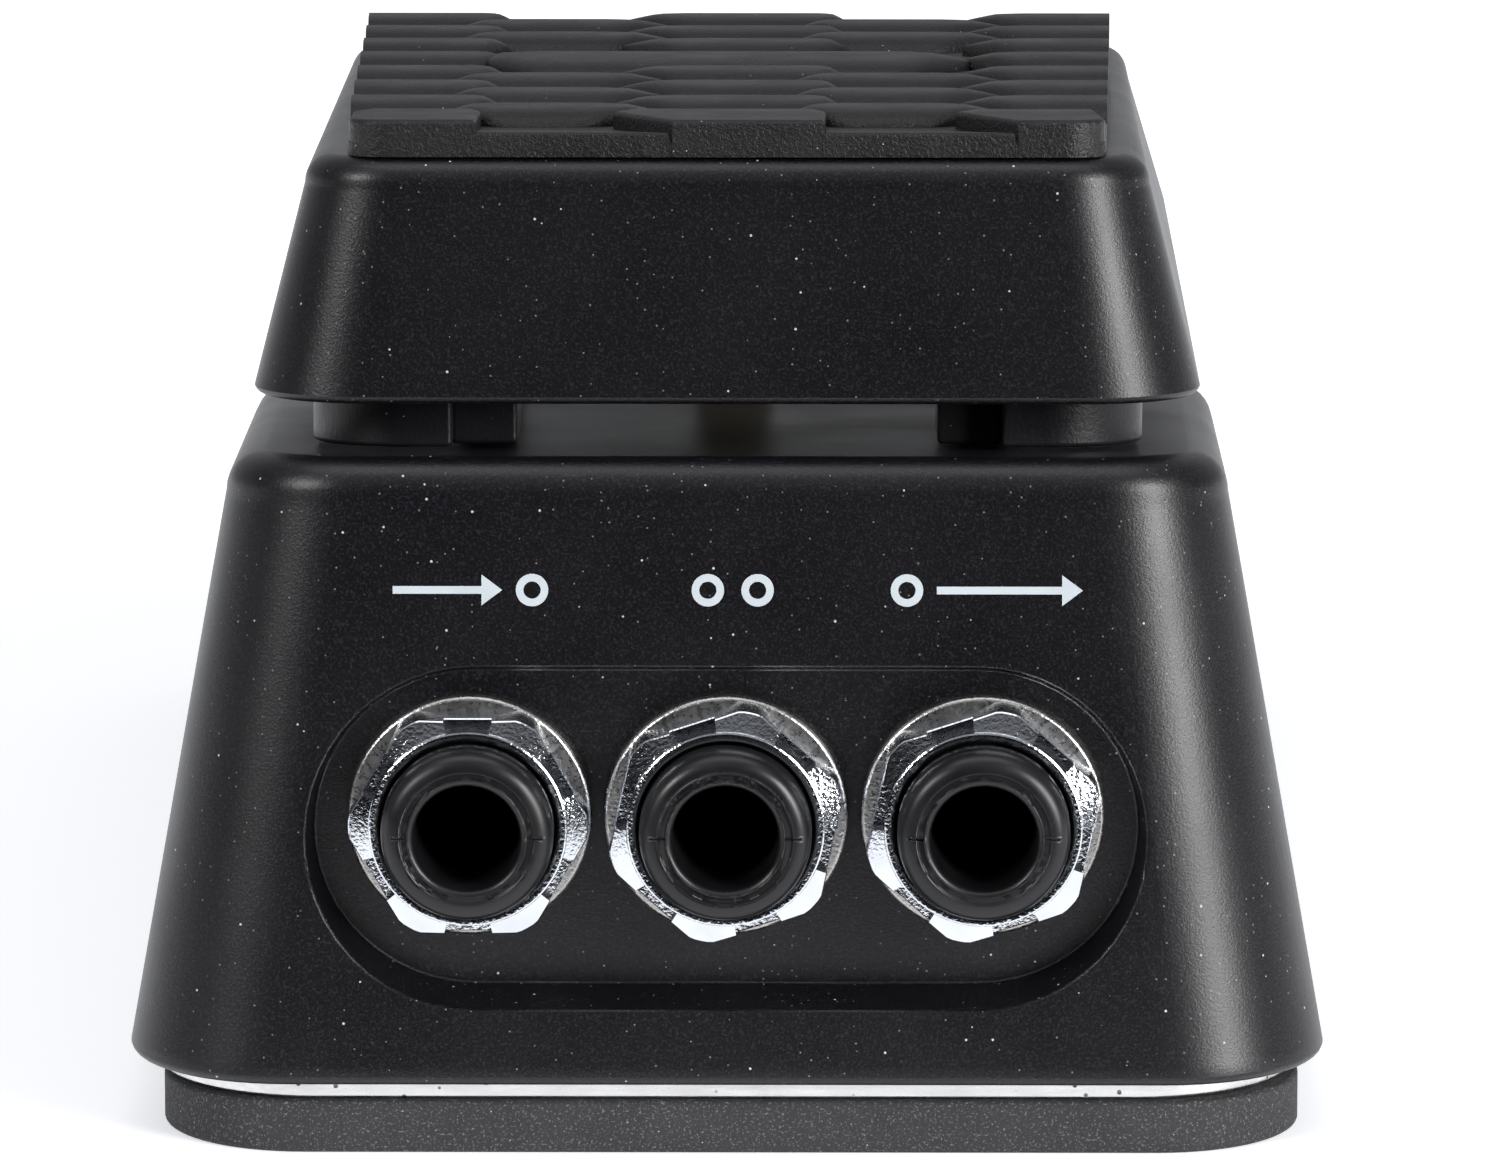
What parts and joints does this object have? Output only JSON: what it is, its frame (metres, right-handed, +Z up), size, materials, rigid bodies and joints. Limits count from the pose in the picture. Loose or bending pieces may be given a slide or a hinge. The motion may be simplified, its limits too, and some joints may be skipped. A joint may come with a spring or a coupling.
{
  "type": "guitar volume pedal",
  "caption": "Compact rocker volume pedal for guitar with jacks at the toe end, a rubber tread and a steel band drive to a rotary potentiometer.",
  "frame": {"origin": "centre of the underside of the rubber mat", "axes": "+Z up, -Y towards the toe end with the jacks, +X to the right when the jacks face the viewer"},
  "size_m": [0.073, 0.1424, 0.0618],
  "materials": {
    "black_powder_coat": "fine satin powder coat",
    "zinc_steel": "zinc plated steel",
    "chrome": "bright nickel chrome",
    "mat_rubber": "matt moulded rubber with fine speckle",
    "tread_rubber": "moulded rubber with fine grain",
    "bumper_rubber": "smooth rubber",
    "jack_plastic": "moulded plastic, half gloss",
    "screw_steel": "plated steel",
    "spring_steel": "bright rolled strip",
    "contact_brass": "plated brass strip",
    "pulley_brass": "turned brass",
    "board_green": "solder mask",
    "component_blue": "moulded",
    "connector_white": "moulded nylon",
    "lead_red": "soft insulation",
    "switch_metal": "tinned steel can",
    "natural_nylon": "natural nylon"
  },
  "bodies": {
    "chassis": {"chassis_shell": "black_powder_coat", "bottom_plate": "zinc_steel", "rubber_mat": "mat_rubber", "bottom_screws": "screw_steel", "input_jack": "jack_plastic", "aux_jack": "jack_plastic", "output_jack": "jack_plastic", "input_contacts": "contact_brass", "aux_contacts": "contact_brass", "output_contacts": "contact_brass", "input_washer": "zinc_steel", "aux_washer": "zinc_steel", "output_washer": "zinc_steel", "input_nut": "chrome", "aux_nut": "chrome", "output_nut": "chrome", "circuit_board": "board_green", "board_components": "component_blue", "lead_connector": "connector_white", "pot_leads": "lead_red", "mode_switch_body": "switch_metal", "pot_bracket": "zinc_steel", "bracket_screws": "screw_steel", "pot_body": "switch_metal", "pot_washer": "zinc_steel", "pot_nut": "zinc_steel", "pivot_axle": "zinc_steel", "axle_clips": "screw_steel", "friction_shoe": "natural_nylon"},
    "rocker": {"rocker_shell": "black_powder_coat", "tread": "tread_rubber", "toe_bumpers": "bumper_rubber", "heel_bumpers": "bumper_rubber", "bumper_screws": "screw_steel", "pivot_bushings": "natural_nylon", "drive_sector": "natural_nylon", "sector_screws": "screw_steel", "drive_band": "spring_steel", "band_clamps": "spring_steel", "band_screws": "screw_steel"},
    "pot_spindle": {"pot_shaft": "zinc_steel", "drive_pulley": "pulley_brass", "pulley_set_screw": "screw_steel", "band_turn": "spring_steel"},
    "mode_slide": {"mode_slider": "jack_plastic"},
    "tension": {"tension_screw": "screw_steel"}
  },
  "joints": [
    {"name": "rocker_tilt", "type": "hinge", "parent": "chassis", "child": "rocker", "pos_m": [0, 0, 0.0445], "axis": [-1, 0, 0], "range_deg": [0, 12]},
    {"name": "pot_turn", "type": "hinge", "parent": "chassis", "child": "pot_spindle", "pos_m": [0, 0, 0.014], "axis": [1, 0, 0], "range_deg": [0, 80]},
    {"name": "mode_switch_slide", "type": "slide", "parent": "chassis", "child": "mode_slide", "axis": [1, 0, 0], "range_m": [0, 0.002]},
    {"name": "tension_screw_turn", "type": "hinge", "parent": "chassis", "child": "tension", "pos_m": [0, 0, 0.026], "axis": [1, 0, 0], "range_deg": [-180, 180]}
  ],
  "couplings": [
    {"joint": "pot_turn", "follows": "rocker_tilt", "ratio": 6.5}
  ]
}
